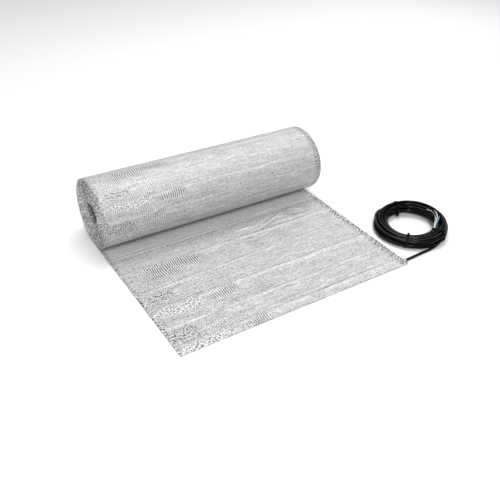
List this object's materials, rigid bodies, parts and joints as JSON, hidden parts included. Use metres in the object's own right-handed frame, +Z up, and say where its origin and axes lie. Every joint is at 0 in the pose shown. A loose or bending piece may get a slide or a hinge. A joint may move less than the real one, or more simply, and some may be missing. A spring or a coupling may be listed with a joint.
{
  "type": "underfloor heating mat",
  "caption": "Foil underfloor heating mat, partly unrolled, with its black connecting lead in a tied coil beside it.",
  "frame": {"origin": "on the floor, under the middle of the mat's footprint, lead not counted", "axes": "+X along the roll and across the mat's width towards the lead, +Y from the flat stretch towards the roll, +Z up"},
  "size_m": [0.6629, 0.4398, 0.1393],
  "materials": {
    "foil": "satin, finely creased",
    "lead_jacket": "glossy",
    "tie_nylon": "satin",
    "core_earth": "satin",
    "core_white": "satin",
    "core_blue": "satin",
    "conductor": "bright tinned strands"
  },
  "bodies": {
    "root": {"foil_mat": "foil", "lead_run": "lead_jacket", "lead_coil": "lead_jacket", "tie_back": "tie_nylon", "tie_front": "tie_nylon", "tie_right": "tie_nylon", "core_earth": "core_earth", "core_white": "core_white", "core_blue": "core_blue", "conductor_earth": "conductor", "conductor_white": "conductor", "conductor_blue": "conductor"}
  },
  "joints": []
}
